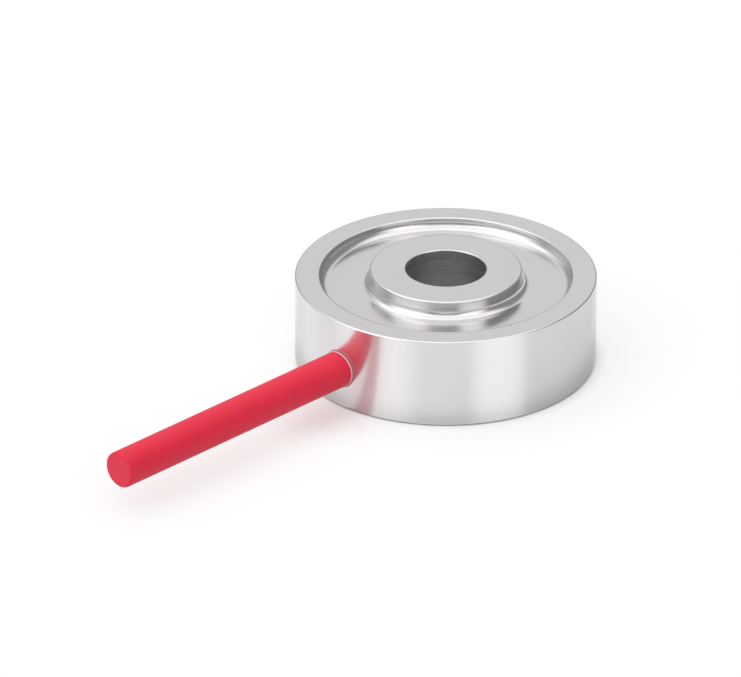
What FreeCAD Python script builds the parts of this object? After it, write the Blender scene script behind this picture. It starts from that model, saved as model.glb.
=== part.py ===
import FreeCAD, Part
import math
import os

# Ring load cell: a turned stainless body with a raised load hub, a radial cable, and the bonded strain-gauge
# bridge that the body holds in a covered chamber. Millimetres. +Z is the load axis and points up, the origin is
# on that axis in the plane of the bottom face, and the cable leaves along -Y.

Vector = FreeCAD.Vector
ORIGIN = Vector(0, 0, 0)
LOAD_AXIS = Vector(0, 0, 1)
CABLE_WAY = Vector(0, -1, 0)
CABLE_AZIMUTH = -90.0
SHARP = ("sharp", 0.0)

# Turned body
RING_DIAMETER = 25.4
RIM_HEIGHT = 7.8
HUB_HEIGHT = 8.35
HUB_DIAMETER = 12.8
BORE_DIAMETER = 6.8
RECESS_DIAMETER = 21.3
RECESS_DEPTH = 0.95
RECESS_FILLET = 0.7
RECESS_EDGE_CHAMFER = 0.07
EDGE_CHAMFER = 0.1
BASE_CHAMFER = 0.12

# Gauge chamber under the web, and the cover's seat below it
WEB_THICKNESS = 1.35
CHAMBER_INNER_DIAMETER = 11.0
CHAMBER_OUTER_DIAMETER = 20.6
CHAMBER_CHAMFER = 0.3
SEAT_WIDTH = 0.6
SEAT_HEIGHT = 0.7
HUB_FOOT_GAP = 0.25

# Bottom cover
COVER_THICKNESS = 0.45
COVER_CLEARANCE = 0.05

# Cable and its port
CABLE_DIAMETER = 3.08
CABLE_HEIGHT = 3.5
CABLE_OUTSIDE = 25.4
CABLE_START_RADIUS = 7.9
CABLE_END_CHAMFER = 0.1
PORT_CLEARANCE = 0.02

# Sealing grommet seated in the mouth of the port
GROMMET_WALL = 0.12
GROMMET_SEAT_RADIUS = 11.2
GROMMET_PROUD = 0.03

# Crimped ferrule and potting behind the port
FERRULE_WALL = 0.2
FERRULE_LENGTH = 1.0
FERRULE_START_RADIUS = 8.9
POTTING_INNER_RADIUS = 8.45
POTTING_HALF_ANGLE = 16.0
POTTING_LEVEL = 1.7

# Strain gauges: a film backing with a foil grid and two solder tabs
GAUGE_AZIMUTHS = (45.0, 135.0, 225.0, 315.0)
GAUGE_INNER_RADIUS = 6.6
GAUGE_OUTER_RADIUS = 9.2
GAUGE_WIDTH = 1.8
GAUGE_LENGTH = 1.3
BACKING_THICKNESS = 0.06
FOIL_THICKNESS = 0.04
GRID_LINES = 6
GRID_PITCH = 0.22
GRID_LINE_WIDTH = 0.11
GRID_LENGTH = 0.62
GRID_MARGIN = 0.1
TAB_WIDTH = 0.5
TAB_LENGTH = 0.36

# Film circuit, gauge leads, solder and trim resistors
CIRCUIT_INNER_RADIUS = 7.4
CIRCUIT_OUTER_RADIUS = 8.4
CIRCUIT_THICKNESS = BACKING_THICKNESS + FOIL_THICKNESS
CIRCUIT_GAP_HALF_ANGLE = 19.0
LEAD_WIDTH = 0.14
LEAD_THICKNESS = 0.05
LEAD_LENGTH = 0.85
LEAD_OVER_TAB = 0.2
LEAD_SOLDER_HALF_WIDTH = 0.16
LEAD_SOLDER_HEIGHT = 0.08
WIRE_SOLDER_HALF_WIDTH = 0.4
WIRE_SOLDER_HEIGHT = 0.25
RESISTOR_AZIMUTHS = (0.0, 80.0, 100.0, 180.0)
RESISTOR_LENGTH = 1.0
RESISTOR_WIDTH = 0.5
RESISTOR_HEIGHT = 0.32
RESISTOR_CAP_LENGTH = 0.22
RESISTOR_CAP_WALL = 0.02

# Cable conductors
CONDUCTOR_DIAMETER = 0.55
CONDUCTOR_OFFSET = 0.32
CONDUCTOR_BEND = 0.5
BEND_STEPS = 2
UPPER_WIRE_TURN_RADIUS = 6.45
LOWER_WIRE_TURN_RADIUS = 7.3
UPPER_PAD_ANGLE = 32.0
LOWER_PAD_ANGLE = 22.0
CONDUCTORS = {
    "red_conductor": (1, 1),
    "black_conductor": (1, -1),
    "green_conductor": (-1, 1),
    "white_conductor": (-1, -1),
}

# Sizes that follow from those above
RING_RADIUS = RING_DIAMETER / 2
RECESS_FLOOR = RIM_HEIGHT - RECESS_DEPTH
CHAMBER_CEILING = RECESS_FLOOR - WEB_THICKNESS
CHAMBER_INNER_RADIUS = CHAMBER_INNER_DIAMETER / 2
CHAMBER_OUTER_RADIUS = CHAMBER_OUTER_DIAMETER / 2
SEAT_INNER_RADIUS = CHAMBER_INNER_RADIUS - SEAT_WIDTH
SEAT_OUTER_RADIUS = CHAMBER_OUTER_RADIUS + SEAT_WIDTH
CABLE_RADIUS = CABLE_DIAMETER / 2
CABLE_END_RADIUS = RING_RADIUS + CABLE_OUTSIDE
PORT_RADIUS = CABLE_RADIUS + PORT_CLEARANCE
GROMMET_OUTER_RADIUS = CABLE_RADIUS + GROMMET_WALL
CIRCUIT_RADIUS = (CIRCUIT_INNER_RADIUS + CIRCUIT_OUTER_RADIUS) / 2
CIRCUIT_UNDERSIDE = CHAMBER_CEILING - CIRCUIT_THICKNESS
LEAD_UNDERSIDE = CIRCUIT_UNDERSIDE - LEAD_THICKNESS
TAB_OFFSET = (GRID_LINES - 1) * GRID_PITCH / 2 - GRID_LINE_WIDTH / 2


def fillet(radius):
    """Corner finish: a tangent arc of that radius."""
    return "fillet", radius


def chamfer(leg):
    """Corner finish: a flat that takes that much off both sides."""
    return "chamfer", leg


def section_outline(corners):
    """Closed wire in the XZ plane through (radius, height, finish) corners."""
    points = [Vector(radius, 0, height) for radius, height, _ in corners]
    runs = []
    for index, (_, _, (style, size)) in enumerate(corners):
        corner = points[index]
        to_last = (points[index - 1] - corner).normalize()
        to_next = (points[(index + 1) % len(points)] - corner).normalize()
        half_angle = to_last.getAngle(to_next) / 2
        reach = size / math.tan(half_angle) if style == "fillet" else size
        start = corner + to_last * reach
        end = corner + to_next * reach
        finish = []
        if style == "fillet":
            inward = (to_last + to_next).normalize()
            nearest = corner + inward * (size / math.sin(half_angle) - size)
            finish = [Part.Arc(start, nearest, end).toShape()]
        elif style == "chamfer":
            finish = [Part.LineSegment(start, end).toShape()]
        runs.append((start, finish, end))
    edges = []
    for index, (start, finish, _) in enumerate(runs):
        edges.append(Part.LineSegment(runs[index - 1][2], start).toShape())
        edges.extend(finish)
    return Part.Wire(edges)


def turned(corners, start=0.0, sweep=360.0):
    """Solid turned about the load axis from a section, from azimuth start and over sweep degrees."""
    solid = Part.Face(section_outline(corners)).revolve(ORIGIN, LOAD_AXIS, sweep)
    return at_azimuth(solid, start)


def at_azimuth(shape, degrees):
    """The shape turned about the load axis, so that what pointed along +X points along that azimuth."""
    moved = shape.copy()
    moved.rotate(ORIGIN, LOAD_AXIS, degrees)
    return moved


def centred_box(size, centre):
    """Box of that size about that centre."""
    corner = centre - size * 0.5
    return Part.makeBox(size.x, size.y, size.z, corner)


def rod_along_cable(radius, from_radius, to_radius):
    """Round rod on the cable's centre line between two distances from the load axis."""
    start = Vector(0, -from_radius, CABLE_HEIGHT)
    return Part.makeCylinder(radius, to_radius - from_radius, start, CABLE_WAY)


def bent_wire(points, radius, bend):
    """Round wire along straight runs, with each bend made of BEND_STEPS short mitred runs."""
    route = [points[0]]
    for before, corner, after in zip(points, points[1:], points[2:]):
        back = (before - corner).normalize()
        ahead = (after - corner).normalize()
        half_angle = back.getAngle(ahead) / 2
        inward = (back + ahead).normalize()
        pivot = corner + inward * (bend / math.sin(half_angle))
        half_turn = math.pi / 2 - half_angle
        sideways = (ahead - back).normalize()
        step = 2 * half_turn / BEND_STEPS
        mitre_radius = bend / math.cos(step / 2)
        for number in range(BEND_STEPS):
            angle = -half_turn + (number + 0.5) * step
            outward = sideways * math.sin(angle) - inward * math.cos(angle)
            route.append(pivot + outward * mitre_radius)
    route.append(points[-1])
    section = Part.Wire(Part.Circle(route[0], route[1] - route[0], radius).toShape())
    return Part.makePolygon(route).makePipeShell([section], True, False, 1)


def sensing_body():
    """Rim, web, hub, bore, top recess, chamber and cable port, all one turned piece."""
    bore = BORE_DIAMETER / 2
    hub = HUB_DIAMETER / 2
    recess = RECESS_DIAMETER / 2
    body = turned([
        (bore, HUB_FOOT_GAP, chamfer(BASE_CHAMFER)),
        (bore, HUB_HEIGHT, chamfer(EDGE_CHAMFER)),
        (hub, HUB_HEIGHT, chamfer(EDGE_CHAMFER)),
        (hub, RECESS_FLOOR, fillet(RECESS_FILLET)),
        (recess, RECESS_FLOOR, fillet(RECESS_FILLET)),
        (recess, RIM_HEIGHT, chamfer(RECESS_EDGE_CHAMFER)),
        (RING_RADIUS, RIM_HEIGHT, chamfer(EDGE_CHAMFER)),
        (RING_RADIUS, 0, chamfer(BASE_CHAMFER)),
        (SEAT_OUTER_RADIUS, 0, SHARP),
        (SEAT_OUTER_RADIUS, SEAT_HEIGHT, SHARP),
        (CHAMBER_OUTER_RADIUS, SEAT_HEIGHT, SHARP),
        (CHAMBER_OUTER_RADIUS, CHAMBER_CEILING, chamfer(CHAMBER_CHAMFER)),
        (CHAMBER_INNER_RADIUS, CHAMBER_CEILING, chamfer(CHAMBER_CHAMFER)),
        (CHAMBER_INNER_RADIUS, SEAT_HEIGHT, SHARP),
        (SEAT_INNER_RADIUS, SEAT_HEIGHT, SHARP),
        (SEAT_INNER_RADIUS, HUB_FOOT_GAP, SHARP),
    ])
    inside = (CHAMBER_INNER_RADIUS + CHAMBER_OUTER_RADIUS) / 2
    port = rod_along_cable(PORT_RADIUS, inside, CABLE_END_RADIUS)
    mouth = rod_along_cable(GROMMET_OUTER_RADIUS, GROMMET_SEAT_RADIUS, CABLE_END_RADIUS)
    return body.cut(port).cut(mouth)


def port_grommet():
    """Soft ring that seals the jacket in the port's mouth, trimmed just proud of the ring's round wall."""
    ring = rod_along_cable(GROMMET_OUTER_RADIUS, GROMMET_SEAT_RADIUS, CABLE_END_RADIUS)
    trim = Part.makeCylinder(RING_RADIUS + GROMMET_PROUD, RIM_HEIGHT, ORIGIN, LOAD_AXIS)
    return ring.common(trim).cut(rod_along_cable(CABLE_RADIUS, CABLE_START_RADIUS, CABLE_END_RADIUS))


def bottom_cover():
    """Annular cover that closes the chamber, set on its two ledges from below."""
    inner = SEAT_INNER_RADIUS + COVER_CLEARANCE
    outer = SEAT_OUTER_RADIUS - COVER_CLEARANCE
    underside = SEAT_HEIGHT - COVER_THICKNESS
    return turned([
        (inner, underside, SHARP),
        (inner, SEAT_HEIGHT, SHARP),
        (outer, SEAT_HEIGHT, SHARP),
        (outer, underside, SHARP),
    ])


def cable():
    """Jacketed cable from inside the chamber to its flat cut end."""
    jacket = rod_along_cable(CABLE_RADIUS, CABLE_START_RADIUS, CABLE_END_RADIUS)
    far_rim = [edge for edge in jacket.Edges if edge.BoundBox.YMax < -RING_RADIUS]
    return jacket.makeChamfer(CABLE_END_CHAMFER, far_rim)


def crimp_ferrule():
    """Ring crimped on the jacket just behind the wall."""
    end = FERRULE_START_RADIUS + FERRULE_LENGTH
    sleeve = rod_along_cable(CABLE_RADIUS + FERRULE_WALL, FERRULE_START_RADIUS, end)
    return sleeve.cut(rod_along_cable(CABLE_RADIUS, CABLE_START_RADIUS, CABLE_END_RADIUS))


def cable_potting():
    """Epoxy that fills the chamber round the cable's entry, from the web down to its poured level."""
    block = turned([
        (POTTING_INNER_RADIUS, POTTING_LEVEL, SHARP),
        (POTTING_INNER_RADIUS, CHAMBER_CEILING, SHARP),
        (CHAMBER_OUTER_RADIUS, CHAMBER_CEILING, chamfer(CHAMBER_CHAMFER)),
        (CHAMBER_OUTER_RADIUS, POTTING_LEVEL, SHARP),
    ], CABLE_AZIMUTH - POTTING_HALF_ANGLE, 2 * POTTING_HALF_ANGLE)
    jacket = rod_along_cable(CABLE_RADIUS, CABLE_START_RADIUS, CABLE_END_RADIUS)
    return block.cut(jacket).cut(crimp_ferrule())


def strain_gauge(radius, tab_side):
    """Foil gauge at +X under the web, with its grid along the radius and its tabs out (1) or in (-1)."""
    foil_top = CHAMBER_CEILING - BACKING_THICKNESS
    foil_centre = foil_top - FOIL_THICKNESS / 2
    backing_centre = CHAMBER_CEILING - BACKING_THICKNESS / 2
    backing = centred_box(
        Vector(GAUGE_LENGTH, GAUGE_WIDTH, BACKING_THICKNESS), Vector(radius, 0, backing_centre)
    )
    grid_far = radius - tab_side * (GAUGE_LENGTH / 2 - GRID_MARGIN)
    grid_near = grid_far + tab_side * GRID_LENGTH
    tab_centre = grid_near + tab_side * TAB_LENGTH / 2
    foil = []
    for line in range(GRID_LINES):
        across = (line - (GRID_LINES - 1) / 2) * GRID_PITCH
        size = Vector(GRID_LENGTH, GRID_LINE_WIDTH, FOIL_THICKNESS)
        foil.append(centred_box(size, Vector((grid_far + grid_near) / 2, across, foil_centre)))
        if line == GRID_LINES - 1:
            continue
        loop_end = grid_far + tab_side * GRID_LINE_WIDTH / 2
        if line % 2 == 1:
            loop_end = grid_near - tab_side * GRID_LINE_WIDTH / 2
        size = Vector(GRID_LINE_WIDTH, GRID_PITCH, FOIL_THICKNESS)
        foil.append(centred_box(size, Vector(loop_end, across + GRID_PITCH / 2, foil_centre)))
    for side in (-1, 1):
        size = Vector(TAB_LENGTH, TAB_WIDTH, FOIL_THICKNESS)
        foil.append(centred_box(size, Vector(tab_centre, side * TAB_OFFSET, foil_centre)))
    return backing.multiFuse(foil).removeSplitter()


def gauge_leads(radius, tab_side):
    """The two ribbon leads from a gauge's tabs to the film circuit, for a gauge at +X."""
    tab_edge = radius + tab_side * (GAUGE_LENGTH / 2 - GRID_MARGIN)
    start = tab_edge - tab_side * LEAD_OVER_TAB
    centre = start + tab_side * LEAD_LENGTH / 2
    height = CIRCUIT_UNDERSIDE - LEAD_THICKNESS / 2
    size = Vector(LEAD_LENGTH, LEAD_WIDTH, LEAD_THICKNESS)
    return Part.makeCompound([centred_box(size, Vector(centre, side * TAB_OFFSET, height)) for side in (-1, 1)])


def lead_end_radius(radius, tab_side):
    """Distance from the load axis of the soldered end of a gauge's leads."""
    tab_edge = radius + tab_side * (GAUGE_LENGTH / 2 - GRID_MARGIN)
    return tab_edge + tab_side * (LEAD_LENGTH - LEAD_OVER_TAB - LEAD_SOLDER_HALF_WIDTH)


def flex_circuit():
    """C-shaped film circuit bonded under the web between the two rows of gauges, open at the cable."""
    start = CABLE_AZIMUTH + CIRCUIT_GAP_HALF_ANGLE
    sweep = 360.0 - 2 * CIRCUIT_GAP_HALF_ANGLE
    return turned([
        (CIRCUIT_INNER_RADIUS, CIRCUIT_UNDERSIDE, SHARP),
        (CIRCUIT_INNER_RADIUS, CHAMBER_CEILING, SHARP),
        (CIRCUIT_OUTER_RADIUS, CHAMBER_CEILING, SHARP),
        (CIRCUIT_OUTER_RADIUS, CIRCUIT_UNDERSIDE, SHARP),
    ], start, sweep)


def trim_resistor():
    """Chip resistor at +X on the underside of the film circuit, lying along the circuit."""
    cap_height = RESISTOR_HEIGHT
    core_height = RESISTOR_HEIGHT - RESISTOR_CAP_WALL
    core_width = RESISTOR_WIDTH - 2 * RESISTOR_CAP_WALL
    core = centred_box(
        Vector(core_width, RESISTOR_LENGTH - 2 * RESISTOR_CAP_WALL, core_height),
        Vector(CIRCUIT_RADIUS, 0, CIRCUIT_UNDERSIDE - core_height / 2),
    )
    caps = []
    for side in (-1, 1):
        along = side * (RESISTOR_LENGTH - RESISTOR_CAP_LENGTH) / 2
        centre = Vector(CIRCUIT_RADIUS, along, CIRCUIT_UNDERSIDE - cap_height / 2)
        caps.append(centred_box(Vector(RESISTOR_WIDTH, RESISTOR_CAP_LENGTH, cap_height), centre))
    return core.multiFuse(caps).removeSplitter()


def conductor_pad(side, level):
    """Pad on the film circuit's underside for a conductor: side 1 is towards +X, level 1 is the upper row."""
    angle = UPPER_PAD_ANGLE if level > 0 else LOWER_PAD_ANGLE
    azimuth = math.radians(CABLE_AZIMUTH + side * angle)
    return Vector(CIRCUIT_RADIUS * math.cos(azimuth), CIRCUIT_RADIUS * math.sin(azimuth), CIRCUIT_UNDERSIDE)


def conductor(side, level):
    """Insulated wire from the jacket's inner end, round past the hub and up to its solder."""
    across = side * CONDUCTOR_OFFSET
    height = CABLE_HEIGHT + level * CONDUCTOR_OFFSET
    turn = UPPER_WIRE_TURN_RADIUS if level > 0 else LOWER_WIRE_TURN_RADIUS
    pad = conductor_pad(side, level)
    route = [
        Vector(across, -CABLE_START_RADIUS, height),
        Vector(across, -turn, height),
        Vector(pad.x, pad.y, height),
        pad - LOAD_AXIS * WIRE_SOLDER_HEIGHT,
    ]
    return bent_wire(route, CONDUCTOR_DIAMETER / 2, CONDUCTOR_BEND)


def solder_hump(place, half_width, tip_half_width, height):
    """Four-sided hump of solder that hangs from a place and narrows downwards."""
    hump = Part.makeWedge(
        -half_width, 0, -half_width, -tip_half_width, -tip_half_width,
        half_width, height, half_width, tip_half_width, tip_half_width,
    )
    hump.rotate(ORIGIN, Vector(1, 0, 0), -90)
    hump.translate(place)
    return hump


def solder_joints():
    """Solder on every lead's end and between every conductor and its pad."""
    joints = []
    for radius, tab_side in ((GAUGE_INNER_RADIUS, 1), (GAUGE_OUTER_RADIUS, -1)):
        end = lead_end_radius(radius, tab_side)
        for azimuth in GAUGE_AZIMUTHS:
            for side in (-1, 1):
                place = Vector(end, side * TAB_OFFSET, LEAD_UNDERSIDE)
                hump = solder_hump(place, LEAD_SOLDER_HALF_WIDTH, LEAD_SOLDER_HALF_WIDTH / 2, LEAD_SOLDER_HEIGHT)
                joints.append(at_azimuth(hump, azimuth))
    for side, level in CONDUCTORS.values():
        pad = conductor_pad(side, level)
        joints.append(solder_hump(pad, WIRE_SOLDER_HALF_WIDTH, CONDUCTOR_DIAMETER / 2, WIRE_SOLDER_HEIGHT))
    return Part.makeCompound(joints)


def all_parts():
    """Every node's name and shape."""
    parts = {
        "sensing_body": sensing_body(),
        "bottom_cover": bottom_cover(),
        "cable": cable(),
        "port_grommet": port_grommet(),
        "crimp_ferrule": crimp_ferrule(),
        "cable_potting": cable_potting(),
        "flex_circuit": flex_circuit(),
        "solder_joints": solder_joints(),
    }
    for row, radius, tab_side in (("inner", GAUGE_INNER_RADIUS, 1), ("outer", GAUGE_OUTER_RADIUS, -1)):
        gauge = strain_gauge(radius, tab_side)
        leads = gauge_leads(radius, tab_side)
        for number, azimuth in enumerate(GAUGE_AZIMUTHS, 1):
            parts[f"strain_gauge_{row}_{number}"] = at_azimuth(gauge, azimuth)
            parts[f"gauge_leads_{row}_{number}"] = at_azimuth(leads, azimuth)
    resistor = trim_resistor()
    for number, azimuth in enumerate(RESISTOR_AZIMUTHS, 1):
        parts[f"trim_resistor_{number}"] = at_azimuth(resistor, azimuth)
    for name, (side, level) in CONDUCTORS.items():
        parts[name] = conductor(side, level)
    return parts


os.makedirs("parts", exist_ok=True)
for node, shape in all_parts().items():
    shape.exportStep(f"parts/{node}.step")
    print(node, len(shape.Solids), round(shape.Volume, 4), shape.isValid())
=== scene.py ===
"""Ring load cell on a pale studio floor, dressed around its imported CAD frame."""

import logging
import math
from dataclasses import dataclass, field
from enum import Enum
from typing import Any

import bpy
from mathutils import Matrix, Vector

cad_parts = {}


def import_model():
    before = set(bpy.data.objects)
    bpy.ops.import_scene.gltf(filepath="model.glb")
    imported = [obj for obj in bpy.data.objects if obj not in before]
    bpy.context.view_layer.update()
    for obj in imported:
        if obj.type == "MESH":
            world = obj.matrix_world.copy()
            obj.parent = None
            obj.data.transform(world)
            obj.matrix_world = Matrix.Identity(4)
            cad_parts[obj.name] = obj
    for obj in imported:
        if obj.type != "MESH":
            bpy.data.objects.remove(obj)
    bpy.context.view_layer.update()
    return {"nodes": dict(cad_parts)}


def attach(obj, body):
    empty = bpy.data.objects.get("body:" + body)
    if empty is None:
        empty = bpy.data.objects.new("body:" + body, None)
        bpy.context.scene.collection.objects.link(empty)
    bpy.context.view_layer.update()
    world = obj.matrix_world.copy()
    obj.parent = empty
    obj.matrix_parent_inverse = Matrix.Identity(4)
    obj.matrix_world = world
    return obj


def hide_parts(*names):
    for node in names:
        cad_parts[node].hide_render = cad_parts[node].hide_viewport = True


LOG = logging.getLogger("ring_load_cell")
MM = 0.001
BODY = "root"
WHITE = (1.0, 1.0, 1.0, 1.0)
RIGHT_ANGLE = 0.5 * math.pi
# Turn of a stretched reflection from along the tool marks to across them, in whole turns.
ACROSS_MARKS = 0.25
# The middle of a noise texture's range, where most of its values lie.
NOISE_MIDDLE = (0.3, 0.7)
# Steps of a millimetre to which corners are rounded, so that faces share them.
CORNER_STEPS = 20000.0
# Decimals of a millimetre to which radii are rounded, so that equal ones compare as equal.
RADIUS_DECIMALS = 6
# A stretch of the outline is a wall where its normals rise or fall by less than this.
WALL_LEAN = 0.01
Span = tuple[float, float]
Point = tuple[float, float, float]
Colour = tuple[float, float, float]
Row = list[tuple[Vector, Vector]]
Socket = bpy.types.NodeSocket


class Surface(Enum):
    """Kinds of machined surface on the ring, each with its own marks."""

    FACE = 0
    WALL = 1
    GROUND = 2
    BORED = 3


class Jacket(Enum):
    """Parts of the cable's jacket, each with its own finish."""

    SIDE = 0
    CUT_END = 1


class Seal(Enum):
    """Parts of the port's seal, each with its own finish: painted highlight on the lip, painted shade
    elsewhere.
    """

    LIP = 0
    TAPER = 1


class NodeSheet:
    """A tree of nodes, with short calls that add them and join them."""

    def __init__(self, tree: bpy.types.NodeTree) -> None:
        """Take over a tree and empty it.

        Args:
            tree: The tree of a material or of the room.
        """
        self.tree = tree
        self.tree.nodes.clear()

    def add(self, kind: str, inputs: dict[Any, Any], **settings: Any) -> bpy.types.Node:
        """Add a node.

        Args:
            kind: The node's type, without its common prefix.
            inputs: A value, or another node's output, for each input by name or number.
            settings: The node's own properties.

        Returns:
            The new node.
        """
        node = self.tree.nodes.new("ShaderNode" + kind)
        for name, value in settings.items():
            setattr(node, name, value)
        for key, value in inputs.items():
            self.feed(node.inputs[key], value)
        return node

    def feed(self, socket: Socket, value: Any) -> None:
        """Join an output to a socket, or set the socket to a plain value.

        Args:
            socket: The socket.
            value: The output or the plain value.
        """
        if isinstance(value, Socket):
            self.tree.links.new(value, socket)
        else:
            socket.default_value = value

    def combine(self, operation: str, *values: Any) -> Socket:
        """Combine two or three values by an operation of the Math node."""
        return self.add("Math", dict(enumerate(values)), operation=operation).outputs["Value"]

    def ramp(self, value: Socket, span: Span, ends: Span, soft: bool = False) -> Socket:
        """Map a value to a ramp.

        Args:
            value: The value.
            span: Values at which the ramp starts and stops.
            ends: Its results there.
            soft: Whether it eases in and out.

        Returns:
            The result.
        """
        limits = {"From Min": span[0], "From Max": span[1], "To Min": ends[0], "To Max": ends[1]}
        easing = "SMOOTHSTEP" if soft else "LINEAR"
        return self.add("MapRange", {"Value": value, **limits}, interpolation_type=easing).outputs["Result"]


class MaterialSheet(NodeSheet):
    """A material's nodes, with calls for what its finish is made of."""

    def __init__(self, name: str) -> None:
        """Start a material with a Principled shader joined to its output.

        Args:
            name: The material's name.
        """
        self.material = bpy.data.materials.new(name)
        self.material.use_nodes = True
        super().__init__(self.material.node_tree)
        self.shader = self.add("BsdfPrincipled", {})
        self.output = self.add("OutputMaterial", {"Surface": self.shader.outputs["BSDF"]})

    def dress(self, values: dict[str, Any]) -> None:
        """Give the shader's sockets their values or their joined outputs."""
        for name, value in values.items():
            self.feed(self.shader.inputs[name], value)

    def place_in_mm(self) -> Socket:
        """Give the shaded point's place on the part, in millimetres."""
        place = self.add("TexCoord", {}).outputs["Object"]
        return self.add("VectorMath", {0: place, "Scale": 1.0 / MM}, operation="SCALE").outputs["Vector"]

    def stretched(self, place: Socket, scale: Point) -> Socket:
        """Scale a place by a different factor along each axis."""
        return self.add("VectorMath", {0: place, 1: scale}, operation="MULTIPLY").outputs["Vector"]

    def length(self, place: Socket) -> Socket:
        """Give a place's distance from the origin."""
        return self.add("VectorMath", {0: place}, operation="LENGTH").outputs["Value"]

    def noise(self, place: Socket, scale: float, detail: float = 3.0) -> Socket:
        """Give smooth noise from 0 to 1 over a place."""
        return self.add("TexNoise", {"Vector": place, "Scale": scale, "Detail": detail}).outputs["Fac"]

    def line_noise(self, along: Socket, scale: float, detail: float) -> Socket:
        """Give smooth noise from 0 to 1 along a line."""
        values = {"W": along, "Scale": scale, "Detail": detail}
        return self.add("TexNoise", values, noise_dimensions="1D").outputs["Fac"]

    def uneven_colour(self, value: Socket, colour: Colour, tones: Span) -> Socket:
        """Vary a colour.

        Args:
            value: Where between the two tones it is, from 0 to 1.
            colour: The middle colour.
            tones: The darkest and the palest tone, as shares of the colour.

        Returns:
            The varied colour.
        """
        dark, pale = ([min(1.0, channel * tone) for channel in colour] for tone in tones)
        values = {"Factor": value, "A": (*dark, 1.0), "B": (*pale, 1.0)}
        node = self.add("Mix", {}, data_type="RGBA")
        for socket in node.inputs:
            if socket.enabled and socket.name in values:
                self.feed(socket, values[socket.name])
        return next(socket for socket in node.outputs if socket.enabled)

    def bump(self, height: Socket, depth: float) -> Socket:
        """Turn a height into a bumped normal whose full depth is given in millimetres."""
        values = {"Height": height, "Strength": 1.0, "Distance": depth * MM}
        return self.add("Bump", values).outputs["Normal"]


@dataclass(frozen=True)
class TurnedSteel:
    """Stainless steel with the fine ring-shaped marks of a lathe tool, a boring bar or a grinding wheel.

    Attributes:
        name: The material's name.
        colour: The metal's colour, linear.
        roughness: Its middle roughness.
        stretch: How far the marks draw reflections out across themselves.
        mark_depth: Depth of the tool marks, in millimetres.
        haze: Index of a rough coat, for the wide haze that grinding or boring leaves, or 0.
        haze_roughness: Roughness of that coat.
        mark_scale: Noise scale of the tool marks, per millimetre.
        band_scale: Noise scale of the wider bands of gloss, per millimetre.
        cloud_scale: Noise scale of the clouds of tone and gloss, per millimetre.
        smear: Bands times clouds, where the gloss is at its most and at its least.
        uneven: Least and most roughness, as shares of the middle one.
        tones: Darkest and palest tone, as shares of the colour.
    """

    name: str
    colour: Colour
    roughness: float
    stretch: float
    mark_depth: float
    haze: float = 0.0
    haze_roughness: float = 0.5
    mark_scale: float = 7.0
    band_scale: float = 1.3
    cloud_scale: float = 0.35
    smear: Span = (0.15, 0.4)
    uneven: Span = (0.88, 1.12)
    tones: Span = (0.975, 1.02)

    def material(self) -> bpy.types.Material:
        """Build the steel's nodes.

        Returns:
            The material.
        """
        sheet = MaterialSheet(self.name)
        place = sheet.place_in_mm()
        radius = sheet.length(sheet.stretched(place, (1.0, 1.0, 0.0)))
        height = sheet.add("SeparateXYZ", {"Vector": place}).outputs["Z"]
        across = sheet.combine("ADD", radius, height)
        marks = sheet.line_noise(across, self.mark_scale, detail=3.0)
        bands = sheet.line_noise(across, self.band_scale, detail=2.0)
        cloud = sheet.noise(place, self.cloud_scale)
        smear = sheet.combine("MULTIPLY", bands, cloud)
        least, most = self.uneven
        sheet.dress({
            "Base Color": sheet.uneven_colour(cloud, self.colour, self.tones),
            "Metallic": 1.0,
            "Roughness": sheet.ramp(smear, self.smear, (self.roughness * least, self.roughness * most)),
            "Normal": sheet.bump(marks, self.mark_depth),
        })
        if self.stretch > 0.0:
            tangent = sheet.add("Tangent", {}, direction_type="RADIAL", axis="Z")
            sheet.dress({
                "Anisotropic": self.stretch,
                "Anisotropic Rotation": ACROSS_MARKS,
                "Tangent": tangent.outputs["Tangent"],
            })
        if self.haze > 0.0:
            sheet.dress({"Coat Weight": 1.0, "Coat Roughness": self.haze_roughness, "Coat IOR": self.haze})
        return sheet.material


@dataclass(frozen=True)
class SiliconeJacket:
    """Coloured silicone, with faint draw lines along the cable and a dusty bloom.

    Attributes:
        name: The material's name.
        colour: The silicone's colour, linear.
        roughness: Its middle roughness.
        line_stretch: Scale of the texture across X, Y and Z, small along the lines.
        line_depth: Depth of the lines, in millimetres.
        bloom_scale: Noise scale of the bloom, per millimetre.
        uneven: How far the roughness goes down and up from the middle one.
        tones: Darkest and palest tone, as shares of the colour.
        index: The silicone's refractive index.
        specular: Its specular level, which the bloom keeps low.
    """

    name: str
    colour: Colour
    roughness: float
    line_stretch: Point
    line_depth: float
    bloom_scale: float = 0.8
    uneven: float = 0.05
    tones: Span = (0.94, 1.06)
    index: float = 1.41
    specular: float = 0.3

    def material(self) -> bpy.types.Material:
        """Build the silicone's nodes.

        Returns:
            The material.
        """
        sheet = MaterialSheet(self.name)
        place = sheet.place_in_mm()
        lines = sheet.noise(sheet.stretched(place, self.line_stretch), 1.0, detail=4.0)
        bloom = sheet.noise(place, self.bloom_scale, detail=5.0)
        gloss = (self.roughness - self.uneven, self.roughness + self.uneven)
        sheet.dress({
            "Base Color": sheet.uneven_colour(bloom, self.colour, self.tones),
            "Roughness": sheet.ramp(bloom, NOISE_MIDDLE, gloss),
            "Normal": sheet.bump(lines, self.line_depth),
            "IOR": self.index,
            "Specular IOR Level": self.specular,
        })
        return sheet.material


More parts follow.
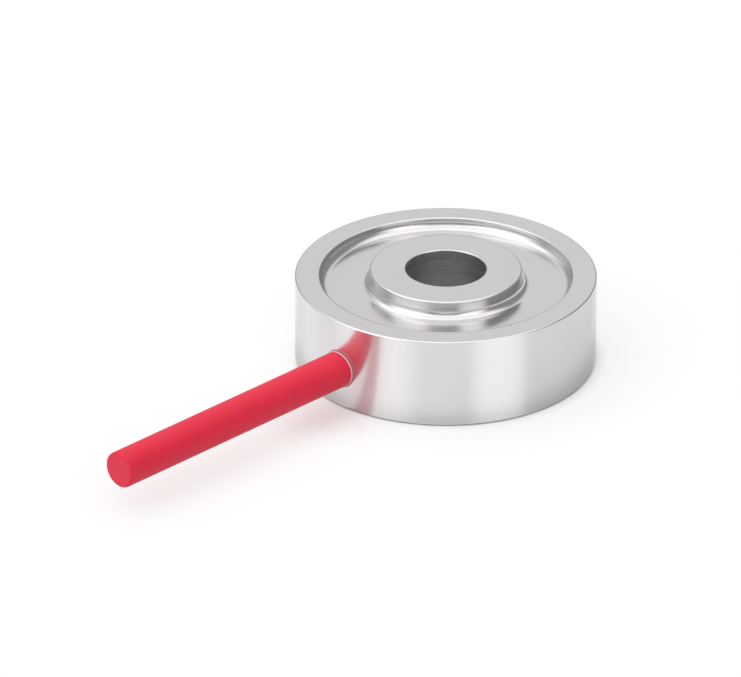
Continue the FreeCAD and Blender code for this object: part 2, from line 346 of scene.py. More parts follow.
@dataclass(frozen=True)
class PlainFinish:
    """A finish for the seal and the parts in the chamber: mottled colour, uneven gloss and a fine bump.

    Attributes:
        name: The material's name.
        colour: The colour, linear.
        roughness: The middle roughness.
        grain: Noise scale per millimetre.
        depth: Depth of the bump, in millimetres.
        metallic: 1 for metal and 0 for the rest.
        uneven: Least and most of the colour and of the roughness, as shares of the middle ones.
    """

    name: str
    colour: Colour
    roughness: float
    grain: float
    depth: float
    metallic: float = 0.0
    uneven: Span = (0.85, 1.15)

    def material(self) -> bpy.types.Material:
        """Build the finish's nodes.

        Returns:
            The material.
        """
        sheet = MaterialSheet(self.name)
        mottle = sheet.noise(sheet.place_in_mm(), self.grain, detail=4.0)
        least, most = self.uneven
        sheet.dress({
            "Base Color": sheet.uneven_colour(mottle, self.colour, self.uneven),
            "Metallic": self.metallic,
            "Roughness": sheet.ramp(mottle, NOISE_MIDDLE, (self.roughness * least, self.roughness * most)),
            "Normal": sheet.bump(mottle, self.depth),
        })
        return sheet.material


STEEL_FACE = TurnedSteel("steel_turned_face", (0.77, 0.75, 0.76), 0.2, 0.0, 0.0003)
STEEL_WALL = TurnedSteel("steel_turned_wall", (0.71, 0.707, 0.715), 0.18, 0.5, 0.00015)
STEEL_GROUND = TurnedSteel("steel_ground_wall", (0.785, 0.783, 0.793), 0.18, 0.5, 0.00015, 2.2)
STEEL_BORED = TurnedSteel("steel_bored_wall", (0.71, 0.707, 0.715), 0.3, 0.0, 0.00015, 1.75)
STEEL_COVER = TurnedSteel("steel_cover", (0.8, 0.795, 0.79), 0.3, 0.0, 0.001)
RED_JACKET = SiliconeJacket("jacket_red", (0.81, 0.028, 0.066), 0.42, (2.0, 0.15, 2.0), 0.004)
# The cut silicone is rougher, with knife marks. Its colour is paler than the side's, partly as painted
# light that makes up for light the end face lacks.
CUT_RED_WITH_PAINTED_LIGHT = SiliconeJacket("jacket_cut_with_painted_light", (0.84, 0.042, 0.088), 0.55, (0.5, 0.5, 5.0), 0.008)
# Painted highlight: the lip's pale pink stands in for a bright highlight on the edge at the cable's entry.
LIP_PAINTED_HIGHLIGHT = PlainFinish("seal_painted_highlight", (0.96, 0.62, 0.62), 0.5, 3.0, 0.002)
# Painted shade: the dark red-brown stands in for the shade in the gap round the cable and its reflection in
# the wall.
TAPER_PAINTED_SHADE = PlainFinish("seal_painted_shade", (0.42, 0.09, 0.105), 0.5, 3.0, 0.002)
CHAMBER_FINISHES = {
    "crimp_ferrule": PlainFinish("ferrule_steel", (0.72, 0.71, 0.7), 0.3, 3.0, 0.004, 1.0),
    "cable_potting": PlainFinish("potting_epoxy", (0.05, 0.055, 0.06), 0.35, 1.5, 0.03),
    "flex_circuit": PlainFinish("circuit_film", (0.5, 0.22, 0.03), 0.35, 2.0, 0.004),
    "strain_gauge": PlainFinish("gauge_foil", (0.66, 0.5, 0.32), 0.32, 6.0, 0.003, 1.0),
    "gauge_leads": PlainFinish("lead_ribbon", (0.8, 0.62, 0.4), 0.28, 8.0, 0.002, 1.0),
    "solder_joints": PlainFinish("solder", (0.7, 0.7, 0.72), 0.25, 5.0, 0.006, 1.0),
    "trim_resistor": PlainFinish("resistor_chip", (0.04, 0.04, 0.045), 0.4, 7.0, 0.003),
    "red_conductor": PlainFinish("insulation_red", (0.5, 0.02, 0.02), 0.45, 4.0, 0.004),
    "black_conductor": PlainFinish("insulation_black", (0.025, 0.025, 0.027), 0.45, 4.0, 0.004),
    "green_conductor": PlainFinish("insulation_green", (0.02, 0.25, 0.06), 0.45, 4.0, 0.004),
    "white_conductor": PlainFinish("insulation_white", (0.75, 0.75, 0.73), 0.45, 4.0, 0.004),
}


@dataclass
class Shell:
    """A mesh in the making: shared corners, and faces with a normal of their own at every corner."""

    corners: list[Vector] = field(default_factory=list)
    faces: list[list[int]] = field(default_factory=list)
    normals: list[list[Vector]] = field(default_factory=list)
    finishes: list[int] = field(default_factory=list)
    found: dict[tuple[int, int, int], int] = field(default_factory=dict)

    def corner(self, place: Vector) -> int:
        """Find the corner at a place, and add it where there is none.

        Args:
            place: The place, in millimetres.

        Returns:
            The corner's number.
        """
        key = tuple(round(value * CORNER_STEPS) for value in place)
        if key not in self.found:
            self.found[key] = len(self.corners)
            self.corners.append(place * MM)
        return self.found[key]

    def face(self, loop: Row, part: Enum) -> None:
        """Add a face, wound so that it looks along its normals.

        Args:
            loop: Its corners in order, in millimetres, each with the surface's normal there.
            part: The part of the piece that it belongs to.
        """
        kept = []
        for place, normal in loop:
            number = self.corner(place)
            if number not in [known for known, _ in kept]:
                kept.append((number, normal))
        if len(kept) < 3:
            return
        first, second, third = (self.corners[number] for number, _ in (kept[0], kept[1], kept[-1]))
        outward = sum((normal for _, normal in kept), Vector())
        if (second - first).cross(third - first).dot(outward) < 0.0:
            kept.reverse()
        self.faces.append([number for number, _ in kept])
        self.normals.append([normal for _, normal in kept])
        self.finishes.append(part.value)

    def stack(self, rows: list[Row], part: Enum, closed: bool = True) -> None:
        """Join each row of (place, normal) pairs to the next one with four-sided faces.

        Args:
            rows: The rows, all of one length.
            part: The part of the piece that they belong to.
            closed: Whether the rows are rings.
        """
        count = len(rows[0])
        for lower, upper in zip(rows, rows[1:]):
            for index in range(count if closed else count - 1):
                after = (index + 1) % count
                self.face([lower[index], lower[after], upper[after], upper[index]], part)

    def piece(self, name: str, finishes: dict[Enum, Any]) -> bpy.types.Object:
        """Make the object.

        Args:
            name: The piece's name.
            finishes: The finish of each of its parts, in the order of the parts' numbers.

        Returns:
            The new object.
        """
        mesh = bpy.data.meshes.new(name)
        mesh.from_pydata([tuple(corner) for corner in self.corners], [], self.faces)
        for finish in finishes.values():
            mesh.materials.append(finish.material())
        mesh.polygons.foreach_set("material_index", self.finishes)
        mesh.polygons.foreach_set("use_smooth", [True] * len(self.faces))
        normals = [tuple(normal.normalized()) for row in self.normals for normal in row]
        mesh.normals_split_custom_set(normals)
        mesh.update()
        made = bpy.data.objects.new(name, mesh)
        bpy.context.scene.collection.objects.link(made)
        return made


def spokes(count: int) -> list[Vector]:
    """Give unit vectors at even angles round the cable's axis, from +X towards +Z."""
    angles = [2.0 * math.pi * number / count for number in range(count)]
    return [Vector((math.cos(angle), 0.0, math.sin(angle))) for angle in angles]


@dataclass(frozen=True)
class Run:
    """A straight or curved stretch of a turned outline.

    Attributes:
        points: Pairs of (radius, height), in millimetres.
        normals: The outline's outward normal, as (radial, axial), at each point.
    """

    points: list[Span]
    normals: list[Span]

    def radii(self) -> set[float]:
        """Give the rounded radii of its points."""
        return {round(radius, RADIUS_DECIMALS) for radius, _ in self.points}


@dataclass(frozen=True)
class Corner:
    """A corner of a turned outline, sharp or rounded. Millimetres.

    Attributes:
        radius: Its distance from the axis.
        height: Its height above the floor.
        reach: How far its rounding goes along the radius.
        drop: How far its rounding goes along the axis.
    """

    radius: float
    height: float
    reach: float = 0.0
    drop: float = 0.0

    def place(self) -> Vector:
        """Give its radius and height."""
        return Vector((self.radius, self.height))

    def extent(self, normal: Vector) -> float:
        """Give the size of its rounding along one of the two normals that meet there."""
        return abs(normal.x) * self.reach + abs(normal.y) * self.drop


@dataclass
class Outline:
    """Closed outline of a turned piece.

    Attributes:
        corners: Its corners, clockwise as seen from -Y with the axis on the left.
        arc_steps: Faces along each rounded corner.
    """

    corners: list[Corner]
    arc_steps: int = 10

    def runs(self) -> list[Run]:
        """Split the outline into its straight and curved stretches.

        Returns:
            The stretches in order, each straight one before the corner that ends it.
        """
        count = len(self.corners)
        arcs = [self.arc(index) for index in range(count)]
        made = []
        for index in range(count):
            start = arcs[index - 1].points[-1]
            end = arcs[index].points[0]
            along = (Vector(end) - Vector(start)).normalized()
            normal = (-along.y, along.x)
            made.append(Run([start, end], [normal, normal]))
            if len(arcs[index].points) > 1:
                made.append(arcs[index])
        return made

    def arc(self, index: int) -> Run:
        """Round one corner.

        Args:
            index: The corner's number.

        Returns:
            The points and normals of its arc, or the bare corner where it isn't rounded.
        """
        corner = self.corners[index]
        place = corner.place()
        if corner.reach == 0.0:
            return Run([tuple(place)], [(0.0, 0.0)])
        arriving = (place - self.corners[index - 1].place()).normalized()
        leaving = (self.corners[(index + 1) % len(self.corners)].place() - place).normalized()
        first = Vector((-arriving.y, arriving.x))
        last = Vector((-leaving.y, leaving.x))
        turn = arriving.x * leaving.y - arriving.y * leaving.x
        side = 1.0 if turn < 0.0 else -1.0
        first_size = corner.extent(first)
        last_size = corner.extent(last)
        centre = place - (first * first_size + last * last_size) * side
        points = []
        normals = []
        for step in range(self.arc_steps + 1):
            angle = RIGHT_ANGLE * step / self.arc_steps
            spoke = first * (first_size * math.cos(angle)) + last * (last_size * math.sin(angle))
            normal = first * (math.cos(angle) / first_size) + last * (math.sin(angle) / last_size)
            points.append(tuple(centre + spoke * side))
            normals.append(tuple(normal.normalized()))
        return Run(points, normals)


@dataclass
class SensingBody:
    """The turned ring: rim, web, load hub, bore, recess, chamber and cable port. Millimetres."""

    ring_radius: float = 12.7
    rim_height: float = 7.8
    hub_height: float = 8.35
    hub_radius: float = 6.4
    bore_radius: float = 3.4
    recess_radius: float = 10.65
    recess_floor: float = 6.85
    recess_fillet: float = 0.7
    recess_edge_reach: float = 0.3
    recess_edge_drop: float = 0.07
    edge_reach: float = 0.18
    edge_drop: float = 0.1
    bore_round: float = 0.1
    base_round: float = 0.25
    chamber_inner: float = 5.5
    chamber_outer: float = 10.3
    chamber_ceiling: float = 5.5
    chamber_fillet: float = 0.3
    seat_inner: float = 4.9
    seat_outer: float = 10.9
    seat_height: float = 0.7
    hub_foot: float = 0.25
    port_height: float = 3.5
    port_radius: float = 1.56
    mouth_radius: float = 1.66
    mouth_floor: float = 11.2
    columns: int = 360
    port_columns: int = 13
    port_rows: int = 14
    port_rings: int = 5

    def outline(self) -> Outline:
        """Give the ring's turned section.

        Returns:
            The section, from the foot of the bore up and round.
        """
        base = self.base_round
        fillet = self.recess_fillet
        cavity = self.chamber_fillet
        return Outline([
            Corner(self.bore_radius, self.hub_foot, base, base),
            Corner(self.bore_radius, self.hub_height, self.bore_round, self.bore_round),
            Corner(self.hub_radius, self.hub_height, self.edge_reach, self.edge_drop),
            Corner(self.hub_radius, self.recess_floor, fillet, fillet),
            Corner(self.recess_radius, self.recess_floor, fillet, fillet),
            Corner(self.recess_radius, self.rim_height, self.recess_edge_reach, self.recess_edge_drop),
            Corner(self.ring_radius, self.rim_height, self.edge_reach, self.edge_drop),
            Corner(self.ring_radius, 0.0, base, base),
            Corner(self.seat_outer, 0.0),
            Corner(self.seat_outer, self.seat_height),
            Corner(self.chamber_outer, self.seat_height),
            Corner(self.chamber_outer, self.chamber_ceiling, cavity, cavity),
            Corner(self.chamber_inner, self.chamber_ceiling, cavity, cavity),
            Corner(self.chamber_inner, self.seat_height),
            Corner(self.seat_inner, self.seat_height),
            Corner(self.seat_inner, self.hub_foot),
        ])

    def surface(self, run: Run) -> Surface:
        """Tell how a stretch is machined: ground outside, bored in the bore, and turned elsewhere.

        Args:
            run: The stretch.

        Returns:
            Its kind of surface.
        """
        if run.radii() == {self.ring_radius}:
            return Surface.GROUND
        if run.radii() == {self.bore_radius}:
            return Surface.BORED
        upright = all(abs(axial) < WALL_LEAN for _, axial in run.normals)
        return Surface.WALL if upright else Surface.FACE

    def is_ported(self, run: Run) -> bool:
        """Say whether the cable port goes through a stretch of the outline.

        Args:
            run: The stretch.

        Returns:
            True for the outer wall and for the chamber's outer wall.
        """
        heights = [height for _, height in run.points]
        crossed = min(heights) < self.port_height < max(heights)
        return crossed and run.radii() in ({self.ring_radius}, {self.chamber_outer})

    def around(self, point: Span, normal: Span, degrees: float) -> tuple[Vector, Vector]:
        """Turn a point of the outline, and its normal, round the axis.

        Args:
            point: Its (radius, height).
            normal: Its normal, as (radial, axial).
            degrees: Angle from the cable's azimuth.

        Returns:
            The place and the normal.
        """
        angle = math.radians(degrees)
        outward = Vector((math.sin(angle), -math.cos(angle), 0.0))
        up = Vector((0.0, 0.0, 1.0))
        return outward * point[0] + up * point[1], outward * normal[0] + up * normal[1]

    def turn_run(self, shell: Shell, run: Run, ported: bool) -> None:
        """Turn one stretch of the outline into faces, and leave the port's own patch of a wall open.

        Args:
            shell: The mesh that takes the faces.
            run: The stretch.
            ported: Whether the cable port goes through it.
        """
        step = 360.0 / self.columns
        points = run.points
        columns = range(self.columns)
        if ported:
            points = [(run.points[0][0], height) for height in self.wall_heights(run)]
            columns = range(self.port_columns, self.columns - self.port_columns + 1)
        normals = run.normals[:1] * len(points) if ported else run.normals
        rows = []
        for point, normal in zip(points, normals):
            rows.append([self.around(point, normal, column * step) for column in columns])
        shell.stack(rows, self.surface(run), closed=not ported)

    def wall_heights(self, run: Run) -> list[float]:
        """Give the heights of the rows of faces on a wall that the port goes through."""
        low, high = sorted(height for _, height in run.points)
        return [low + (high - low) * row / self.port_rows for row in range(self.port_rows + 1)]

    def patch_border(self, run: Run) -> list[Span]:
        """Go round the border of the port's patch, anticlockwise from its lower left.

        Args:
            run: The wall's stretch of the outline.

        Returns:
            Degrees from the cable's azimuth, and height, of each corner.
        """
        heights = self.wall_heights(run)
        step = 360.0 / self.columns
        left = -self.port_columns * step
        spans = range(2 * self.port_columns)
        border = [(left + column * step, heights[0]) for column in spans]
        border += [(-left, height) for height in heights[:-1]]
        border += [(-left - column * step, heights[-1]) for column in spans]
        border += [(left, height) for height in reversed(heights[1:])]
        return border

    def port_angles(self, wall: Run) -> list[float]:
        """Give the angle on the port's circle that faces each corner of the outer patch's border.

        Args:
            wall: The outer wall's stretch of the outline.

        Returns:
            The angles, in radians.
        """
        angles = []
        for degrees, height in self.patch_border(wall):
            across = math.radians(degrees) * self.ring_radius
            angles.append(math.atan2(height - self.port_height, across))
        return angles

    def on_wall(self, radius: float, across: float, height: float) -> Vector:
        """Give the point of a round wall that lies on the cable's side at an X and a height."""
        return Vector((across, -math.sqrt(radius * radius - across * across), height))

    def patch_rows(self, run: Run, angles: list[float], port: float, facing: float) -> list[Row]:
        """Fill a patch of a round wall between its border and the port's circle.

        Args:
            run: The wall's stretch of the outline.
            angles: Angles of the circle's points.
            port: Radius of the circle.
            facing: 1 where the wall looks away from the axis, and -1 where it looks at it.

        Returns:
            Rings of (place, normal), from the circle out to the border.
        """
        radius = run.points[0][0]
        rows = []
        for ring in range(self.port_rings + 1):
            share = ring / self.port_rings
            row = []
            for angle, (degrees, height) in zip(angles, self.patch_border(run)):
                inner = math.degrees(math.asin(port * math.cos(angle) / radius))
                inner_height = self.port_height + port * math.sin(angle)
                here = inner + (degrees - inner) * share
                level = inner_height + (height - inner_height) * share
                row.append(self.around((radius, level), (facing, 0.0), here))
            rows.append(row)
        return rows

    def port_lining(self, angles: list[float]) -> list[list[Row]]:
        """Line the port: its wide mouth, the step that the seal sits on, and its throat.

        Args:
            angles: Angles of the port's points.

        Returns:
            For each of the three, two rings of (place, normal), the outer one first.
        """
        mouth = [[], []]
        step = [[], []]
        throat = [[], []]
        axis = Vector((0.0, 0.0, self.port_height))
        out = Vector((0.0, -1.0, 0.0))
        depth = out * self.mouth_floor
        for angle in angles:
            spoke = Vector((math.cos(angle), 0.0, math.sin(angle)))
            wide = axis + spoke * self.mouth_radius
            narrow = axis + spoke * self.port_radius
            mouth[0].append((self.on_wall(self.ring_radius, wide.x, wide.z), -spoke))
            mouth[1].append((wide + depth, -spoke))
            step[0].append((wide + depth, out))
            step[1].append((narrow + depth, out))
            throat[0].append((narrow + depth, -spoke))
            throat[1].append((self.on_wall(self.chamber_outer, narrow.x, narrow.z), -spoke))
        return [mouth, step, throat]

    def build(self) -> bpy.types.Object:
        """Make the ring and put it in place of its CAD node.

        Returns:
            The ring.
        """
        shell = Shell()
        runs = self.outline().runs()
        for run in runs:
            self.turn_run(shell, run, self.is_ported(run))
        outer, inner = filter(self.is_ported, runs)
        angles = self.port_angles(outer)
        shell.stack(self.patch_rows(outer, angles, self.mouth_radius, 1.0), self.surface(outer))
        shell.stack(self.patch_rows(inner, angles, self.port_radius, -1.0), self.surface(inner))
        for rows in self.port_lining(angles):
            shell.stack(rows, Surface.WALL)
        finishes = {
            Surface.FACE: STEEL_FACE,
            Surface.WALL: STEEL_WALL,
            Surface.GROUND: STEEL_GROUND,
            Surface.BORED: STEEL_BORED,
        }
        made = shell.piece("turned_ring", finishes)
        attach(made, BODY)
        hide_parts("sensing_body")
        return made


@dataclass
class PortSeal:
    """The silicone ring that seals the cable in its port, with a thin lip outside the wall. Millimetres.

    The lip's pale pink is a painted highlight, and the dark red-brown of the rest is painted shade of the
    gap round the cable.
    """

    inner_radius: float = 1.54
    outer_radius: float = 1.66
    lip_radius: float = 1.6
    seat: float = 11.2
    wall_radius: float = 12.7
    lip_front: float = 0.21
    height: float = 3.5
    lip_round: float = 0.06
    lip_steps: int = 4
    sides: int = 96

    def ring(self, radius: float, proud: float, turn: float) -> Row:
        """Give one ring of the seal, at an even distance from the ring's round wall.

        Args:
            radius: Distance from the cable's axis.
            proud: Distance out from the wall.
            turn: Angle of the normals from straight outwards to away from the cable.

        Returns:
            (place, normal) pairs round the cable.
        """
        row = []
        for spoke in spokes(self.sides):
            across = radius * spoke.x
            reach = math.sqrt(self.wall_radius ** 2 - across ** 2) + proud
            place = Vector((across, -reach, self.height + radius * spoke.z))
            outward = Vector((place.x, place.y, 0.0)).normalized()
            row.append((place, outward * math.cos(turn) + spoke * math.sin(turn)))
        return row

    def seated(self, radius: float, turn: float) -> Row:
        """Give one ring on the step that the seal sits on.

        Args:
            radius: Distance from the cable's axis.
            turn: Angle of the normals from straight inwards to away from the cable.

        Returns:
            (place, normal) pairs round the cable.
        """
        inward = Vector((0.0, 1.0, 0.0))
        row = []
        for spoke in spokes(self.sides):
            place = Vector((radius * spoke.x, -self.seat, self.height + radius * spoke.z))
            row.append((place, inward * math.cos(turn) + spoke * math.sin(turn)))
        return row

    def stretches(self) -> list[tuple[Seal, list[Row]]]:
        """Give the seal's section as stretches of rings, from the lip's face round to the step.

        Returns:
            For each stretch, its part of the seal and its rings of (place, normal).
        """
        inner = self.inner_radius
        outer = self.outer_radius
        lip = [self.ring(inner, self.lip_front, 0.0)]
        for step in range(self.lip_steps + 1):
            turn = RIGHT_ANGLE * step / self.lip_steps
            radius = self.lip_radius - self.lip_round * (1.0 - math.sin(turn))
            lip.append(self.ring(radius, self.lip_front - self.lip_round * (1.0 - math.cos(turn)), turn))
        lip_back = self.lip_front - self.lip_round
        lean = math.atan2(lip_back, outer - self.lip_radius)
        taper = [self.ring(self.lip_radius, lip_back, lean), self.ring(outer, 0.0, lean)]
        outside = [self.ring(outer, 0.0, RIGHT_ANGLE), self.seated(outer, RIGHT_ANGLE)]
        foot = [self.seated(outer, 0.0), self.seated(inner, 0.0)]
        inside = [self.seated(inner, -RIGHT_ANGLE), self.ring(inner, self.lip_front, -RIGHT_ANGLE)]
        # The taper, outside, foot and inside take the painted shade.
        dark = [(Seal.TAPER, rows) for rows in (taper, outside, foot, inside)]
        return [(Seal.LIP, lip), *dark]

    def build(self) -> bpy.types.Object:
        """Make the seal and put it in place of its CAD node.

        Returns:
            The seal.
        """
        shell = Shell()
        for part, rows in self.stretches():
            shell.stack(rows, part)
        made = shell.piece("port_seal", {Seal.LIP: LIP_PAINTED_HIGHLIGHT, Seal.TAPER: TAPER_PAINTED_SHADE})
        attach(made, BODY)
        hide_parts("port_grommet")
        return made


@dataclass
class CableStub:
    """The jacketed cable, from the chamber to its cut end. Millimetres."""

    diameter: float = 3.08
    height: float = 3.5
    ring_radius: float = 12.7
    start_radius: float = 7.9
    end_radius: float = 38.1
    end_round: float = 0.25
    sides: int = 72
    round_steps: int = 5
    cut_rings: int = 6
    route_stations: tuple[float, ...] = (7.9, 12.7, 19.0, 25.4, 31.8, 38.1)
    route_order: int = 3
    route_steps: int = 8

    def route(self) -> list[Vector]:
        """Read the cable's line from a smooth curve through its stations.

        Returns:
            Points of the line, in millimetres, from the chamber outwards.
        """
        data = bpy.data.curves.new("cable_route", "CURVE")
        data.dimensions = "3D"
        data.resolution_u = self.route_steps
        spline = data.splines.new("NURBS")
        spline.points.add(len(self.route_stations) - 1)
        for point, station in zip(spline.points, self.route_stations):
            point.co = (0.0, -station, self.height, 1.0)
        spline.order_u = self.route_order
        spline.use_endpoint_u = True
        guide = bpy.data.objects.new("cable_route", data)
        bpy.context.scene.collection.objects.link(guide)
        bpy.context.view_layer.update()
        mesh = bpy.data.meshes.new_from_object(guide)
        points = [vertex.co.copy() for vertex in mesh.vertices]
        bpy.data.objects.remove(guide)
        bpy.data.curves.remove(data)
        bpy.data.meshes.remove(mesh)
        return points

    def ring(self, centre: Vector, radius: float, slope: float) -> Row:
        """Give one ring of the tube.

        Args:
            centre: The ring's centre.
            radius: Its radius.
            slope: Angle of its normals from straight out towards the cut end.

        Returns:
            (place, normal) pairs round the cable.
        """
        row = []
        for spoke in spokes(self.sides):
            normal = spoke * math.cos(slope) + Vector((0.0, -math.sin(slope), 0.0))
            row.append((centre + spoke * radius, normal))
        return row

    def cut_edge(self, end: Vector) -> list[Row]:
        """Round the edge of the cut end.

        Args:
            end: The middle of the cut.

        Returns:
            Rings of (place, normal), from the side to the cut.
        """
        edge = []
        for step in range(self.round_steps + 1):
            turn = RIGHT_ANGLE * step / self.round_steps
            back = self.end_round * (1.0 - math.sin(turn))
            across = self.diameter / 2.0 - self.end_round * (1.0 - math.cos(turn))
            edge.append(self.ring(end + Vector((0.0, back, 0.0)), across, turn))
        return edge

    def disc(self, centre: Vector, reach: float, slope: float) -> list[Row]:
        """Fill a flat end of the cable.

        Args:
            centre: Its middle.
            reach: Its radius.
            slope: A right angle where it looks outwards, and a negative one where it looks at the ring.

        Returns:
            Rings of (place, normal), from the middle.
        """
        steps = range(self.cut_rings + 1)
        return [self.ring(centre, reach * step / self.cut_rings, slope) for step in steps]

    def build(self) -> bpy.types.Object:
        """Returns:
            The cable.
        """
        shell = Shell()
        line = self.route()
        radius = self.diameter / 2.0
        end = line[-1]
        tube = [self.ring(centre, radius, 0.0) for centre in line[:-1]]
        tube.append(self.ring(end + Vector((0.0, self.end_round, 0.0)), radius, 0.0))
        shell.stack(tube, Jacket.SIDE)
        shell.stack(self.cut_edge(end), Jacket.SIDE)
        shell.stack(self.disc(end, radius - self.end_round, RIGHT_ANGLE), Jacket.CUT_END)
        shell.stack(self.disc(line[0], radius, -RIGHT_ANGLE), Jacket.CUT_END)
        made = shell.piece("cable_jacket_stub", {Jacket.SIDE: RED_JACKET, Jacket.CUT_END: CUT_RED_WITH_PAINTED_LIGHT})
        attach(made, BODY)
        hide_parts("cable")
        return made


@dataclass
class ChamberFittings:
    """The small CAD parts inside the ring: cover, ferrule, potting, gauges, circuit and wires."""

    nodes: dict[str, bpy.types.Object]
    cover: str = "bottom_cover"

    def dress(self) -> list[str]:
        """Give each node whose name starts with a known family its finish, and skip the rest.

        Returns:
            The names of the dressed nodes.
        """
        made = {family: finish.material() for family, finish in CHAMBER_FINISHES.items()}
        made[self.cover] = STEEL_COVER.material()
        dressed = []
        for name, node in self.nodes.items():
            family = next((known for known in made if name.startswith(known)), None)
            if family is None:
                continue
            node.data.materials.clear()
            node.data.materials.append(made[family])
            dressed.append(name)
        return dressed


@dataclass(frozen=True)
class Glow:
    """A soft round patch of light in the room.

    Attributes:
        name: What it stands for.
        azimuth: Degrees to the right of the camera, seen from above the part.
        elevation: Degrees above the floor.
        core: Half-width of the even part, in degrees.
        reach: Half-width where the patch ends, in degrees.
        strength: Radiance of the even part.
    """

    name: str
    azimuth: float
    elevation: float
    core: float
    reach: float
    strength: float


@dataclass
class Studio:
    """Camera, floor and soft light. Metres and degrees.

    Attributes:
        floor_grey: The floor's tone to the camera and in metal.
        floor_bounce: Its tone where it lights matt things.
        floor_gloss: Its specular level in metal.
        floor_white: Share of white that the camera sees on it in any shade.
        corner_shadow_white: That share in the corner under the cable's entry, lowered there as a painted
            shadow.
        rim_shadow_white: That share at the foot of the ring's wall, lowered there as a painted contact
            shadow.
        mirrored_white: That share in metal.
        mirrored_rim_shade: Change of its tone in metal at the foot of the ring's wall, as a share: a
            painted shade.
        floor_white_radius: Radius of the place under the ring where no such share is seen.
    """

    target_height: float = 0.004
    camera_distance: float = 0.65
    camera_azimuth: float = 44.114
    camera_elevation: float = 26.94
    aim_azimuth: float = 44.741
    aim_elevation: float = 27.122
    lens: float = 374.4
    sensor_width: float = 36.0
    clip_near: float = 0.01
    clip_far: float = 20.0
    floor_half: float = 3.0
    floor_drop: float = 0.00001
    floor_grey: float = 0.99
    floor_bounce: float = 0.75
    floor_roughness: float = 0.12
    floor_index: float = 3.7
    floor_gloss: float = 0.5
    floor_white: float = 0.64
    # Painted shadow: the floor keeps less white in the corner under the cable's entry, so its shadow shows
    # deeper there.
    corner_shadow_white: float = 0.25
    corner_shadow_place: Point = (0.0, -0.0127, 0.0)
    corner_shadow_core: float = 0.002
    corner_shadow_reach: float = 0.009
    # Painted contact shadow: the floor keeps less white in a band round the foot of the ring's wall.
    rim_shadow_white: float = 0.2
    rim_shadow_reach: float = 0.0138
    mirrored_white: float = 0.03
    # Painted shade: in metal, the floor's tone is lowered in a band round the foot of the ring's wall.
    mirrored_rim_shade: float = -0.32
    mirrored_shade_reach: float = 0.0165
    floor_white_radius: float = 0.0127
    room_strength: float = 0.28
    glows: tuple[Glow, ...] = (
        Glow("left_window", -60.0, 24.0, 8.0, 40.0, 0.84),
        Glow("right_window", 42.0, 27.0, 5.0, 25.0, 1.0),
        Glow("left_back_window", -118.0, 20.0, 6.0, 26.0, 0.33),
        Glow("overhead", -30.0, 80.0, 40.0, 58.0, 0.9),
        Glow("left_back_sky", -128.0, 52.0, 8.0, 30.0, 0.35),
        Glow("back_sky", -165.0, 46.0, 24.0, 46.0, 0.22),
        Glow("back_wall", 180.0, 32.0, 10.0, 28.0, 0.28),
        Glow("low_front", 0.0, 2.0, 6.0, 18.0, 0.7),
    )

    def direction(self, azimuth: float, elevation: float) -> Vector:
        """Give the unit vector towards a place in the room.

        Args:
            azimuth: Degrees from -Y towards +X.
            elevation: Degrees above the floor.

        Returns:
            The vector.
        """
        turn = math.radians(azimuth)
        rise = math.radians(elevation)
        return Vector((math.sin(turn) * math.cos(rise), -math.cos(turn) * math.cos(rise), math.sin(rise)))

    def place_camera(self) -> None:
        """Set the camera where the photograph was taken from."""
        data = bpy.data.cameras.new("photo_camera")
        data.sensor_fit = "HORIZONTAL"
        data.sensor_width = self.sensor_width
        data.lens = self.lens
        data.clip_start = self.clip_near
        data.clip_end = self.clip_far
        camera = bpy.data.objects.new("photo_camera", data)
        target = Vector((0.0, 0.0, self.target_height))
        stand = self.direction(self.camera_azimuth, self.camera_elevation)
        camera.location = target + stand * self.camera_distance
        aim = self.direction(self.aim_azimuth, self.aim_elevation)
        camera.rotation_euler = aim.to_track_quat("Z", "Y").to_euler()
        bpy.context.scene.collection.objects.link(camera)
        bpy.context.scene.camera = camera

    def lay_floor(self) -> None:
        """Lay a plain pale floor just under the ring."""
        reach = self.floor_half
        mesh = bpy.data.meshes.new("studio_floor")
        sides = ((-1, -1), (1, -1), (1, 1), (-1, 1))
        corners = [(x * reach, y * reach, -self.floor_drop) for x, y in sides]
        mesh.from_pydata(corners, [], [(0, 1, 2, 3)])
        mesh.materials.append(self.floor_material())
        floor = bpy.data.objects.new("studio_floor", mesh)
        bpy.context.scene.collection.objects.link(floor)

    def floor_material(self) -> bpy.types.Material:
        """Build the floor's white.

        It is matt to the camera and satin in metal, where painted shade darkens it beside the ring. It
        gives a little less light back to matt things. Part of its white shows in any shade.

        Returns:
            The material.
        """
        sheet = MaterialSheet("floor_white")
        rays = sheet.add("LightPath", {})
        place = sheet.add("TexCoord", {}).outputs["Object"]
        # Painted shade: metal sees the floor darker in a band beside the ring.
        beside = (self.floor_white_radius, self.mirrored_shade_reach)
        painted_rim_shade = sheet.ramp(sheet.length(place), beside, (self.mirrored_rim_shade, 0.0), soft=True)
        left = sheet.combine("MULTIPLY_ADD", rays.outputs["Is Glossy Ray"], painted_rim_shade, 1.0)
        tones = (self.floor_grey, self.floor_bounce)
        tone = sheet.ramp(rays.outputs["Is Diffuse Ray"], (0.0, 1.0), tones)
        gloss = sheet.ramp(rays.outputs["Is Camera Ray"], (0.0, 1.0), (self.floor_gloss, 0.0))
        sheet.dress({
            "Base Color": sheet.combine("MULTIPLY", tone, left),
            "Roughness": self.floor_roughness,
            "IOR": self.floor_index,
            "Specular IOR Level": gloss,
        })
        share = self.white_share(sheet, rays, place)
        white = sheet.add("Emission", {"Color": WHITE, "Strength": 1.0}).outputs["Emission"]
        mixed = sheet.add("MixShader", {0: share, 1: sheet.shader.outputs["BSDF"], 2: white})
        sheet.feed(sheet.output.inputs["Surface"], mixed.outputs["Shader"])
        return sheet.material

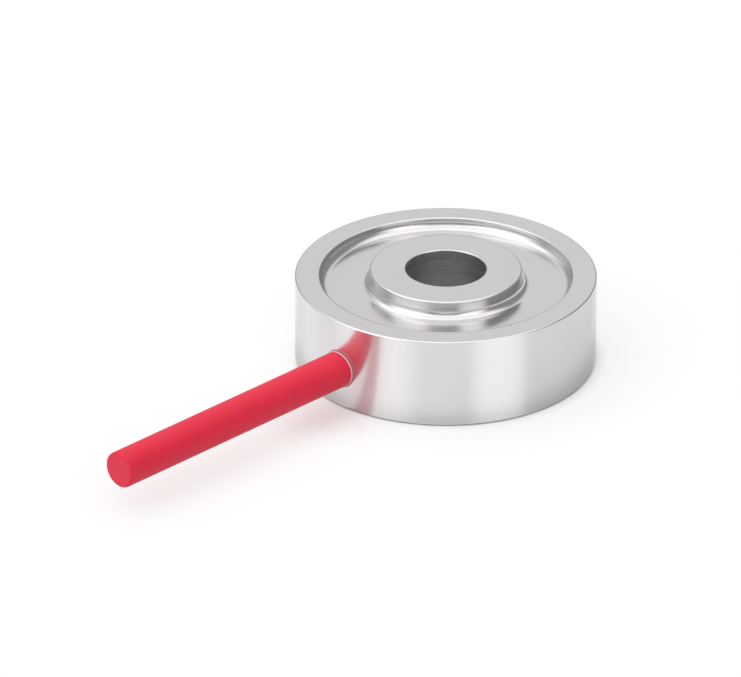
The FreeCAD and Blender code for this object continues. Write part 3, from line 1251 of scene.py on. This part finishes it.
    def white_share(self, sheet: MaterialSheet, rays: bpy.types.Node, place: Socket) -> Socket:
        """Give the share of the floor's white that shows in any shade.

        The camera sees less of it beside the ring and in the corner under the cable's entry, a painted
        shadow that deepens the real one there. Metal sees little of it, and there is none under the ring.

        Args:
            sheet: The floor's nodes.
            rays: The node that tells the kinds of rays apart.
            place: The place on the floor.

        Returns:
            The share, from 0 to 1.
        """
        distance = sheet.length(place)
        # Painted shadow: less white in the corner under the cable's entry.
        corner = {0: place, 1: self.corner_shadow_place}
        away = sheet.add("VectorMath", corner, operation="DISTANCE").outputs["Value"]
        corner_shadow_span = (self.corner_shadow_core, self.corner_shadow_reach)
        painted_corner_shadow = sheet.ramp(away, corner_shadow_span, (self.corner_shadow_white, self.floor_white), soft=True)
        # Painted contact shadow: less white in a band round the foot of the ring's wall.
        rim_shadow_span = (self.floor_white_radius, self.rim_shadow_reach)
        painted_rim_shadow = sheet.ramp(distance, rim_shadow_span, (self.rim_shadow_white, self.floor_white), soft=True)
        kept = sheet.combine("MINIMUM", painted_corner_shadow, painted_rim_shadow)
        glossy = rays.outputs["Is Glossy Ray"]
        mirrored = sheet.combine("MAXIMUM", glossy, rays.outputs["Is Transmission Ray"])
        dimmed = sheet.combine("MULTIPLY", mirrored, self.mirrored_white)
        seen = sheet.combine("MULTIPLY_ADD", rays.outputs["Is Camera Ray"], kept, dimmed)
        clear = sheet.combine("GREATER_THAN", distance, self.floor_white_radius)
        return sheet.combine("MULTIPLY", seen, clear)

    def light(self) -> None:
        """Light the part from the room alone: an even ground level and a few soft glows."""
        world = bpy.data.worlds.new("studio_room")
        bpy.context.scene.world = world
        world.use_nodes = True
        sheet = NodeSheet(world.node_tree)
        way = sheet.add("TexCoord", {}).outputs["Generated"]
        total = self.room_strength
        for glow in self.glows:
            share = self.glow_share(sheet, way, glow)
            total = sheet.combine("MULTIPLY_ADD", share, glow.strength, total)
        sky = sheet.add("Background", {"Color": WHITE, "Strength": total})
        sheet.add("OutputWorld", {"Surface": sky.outputs["Background"]})

    def glow_share(self, sheet: NodeSheet, way: Socket, glow: Glow) -> Socket:
        """Give how much of a glow shows in a direction, from 0 to 1.

        Args:
            sheet: The room's nodes.
            way: The direction.
            glow: The glow.

        Returns:
            The share.
        """
        middle = self.direction(self.camera_azimuth + glow.azimuth, glow.elevation)
        along = sheet.add("VectorMath", {0: way, 1: middle}, operation="DOT_PRODUCT").outputs["Value"]
        span = (math.cos(math.radians(glow.reach)), math.cos(math.radians(glow.core)))
        return sheet.ramp(along, span, (0.0, 1.0), soft=True)

    def set_up(self) -> None:
        """Place the camera, the floor and the lights."""
        bpy.context.scene.view_settings.view_transform = "Standard"
        self.place_camera()
        self.lay_floor()
        self.light()


def main() -> None:
    """Load the frame, build the pieces in order and light them."""
    logging.basicConfig(level=logging.INFO, format="%(name)s: %(message)s")
    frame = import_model()
    Studio().set_up()
    LOG.info("camera, floor and lights are set")
    for builder in (CableStub(), PortSeal(), SensingBody()):
        made = builder.build()
        LOG.info("%s: %d faces", made.name, len(made.data.polygons))
    dressed = ChamberFittings(frame["nodes"]).dress()
    LOG.info("chamber fittings dressed: %d", len(dressed))


if __name__ == "__main__":
    main()
